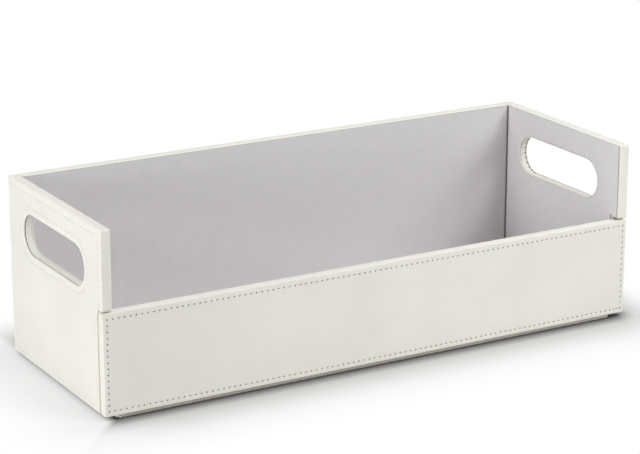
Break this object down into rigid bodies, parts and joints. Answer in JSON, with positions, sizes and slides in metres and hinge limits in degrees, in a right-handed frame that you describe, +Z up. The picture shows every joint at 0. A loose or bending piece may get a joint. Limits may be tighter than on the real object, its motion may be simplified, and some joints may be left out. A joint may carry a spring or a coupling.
{
  "type": "open storage box",
  "caption": "Low-fronted open storage box for a row of compact disc cases: leather-covered boards, twill lining, a handle hole in each end wall and a thin cloth-covered base.",
  "frame": {"origin": "on the table, under the middle of the box", "axes": "+X along the length to the right-hand end, -Y towards the low front, +Z up"},
  "size_m": [0.454, 0.163, 0.1415],
  "materials": {
    "leather": "off-white soft leather, fine grain, satin",
    "board": "medium-density fibreboard, hidden inside the covers",
    "lining": "light grey twill, matt",
    "base_cloth": "taupe twill tape cloth, matt"
  },
  "bodies": {
    "root": {"left_end_board": "board", "left_end_cover": "leather", "left_end_lining": "lining", "left_handle_collar": "leather", "right_end_board": "board", "right_end_cover": "leather", "right_end_lining": "lining", "right_handle_collar": "leather", "front_board": "board", "front_cover": "leather", "front_lining": "lining", "back_board": "board", "back_cover": "leather", "back_lining": "lining", "floor_board": "board", "floor_cover": "leather", "floor_lining": "lining", "base_board": "board", "base_cloth": "base_cloth"}
  },
  "joints": []
}
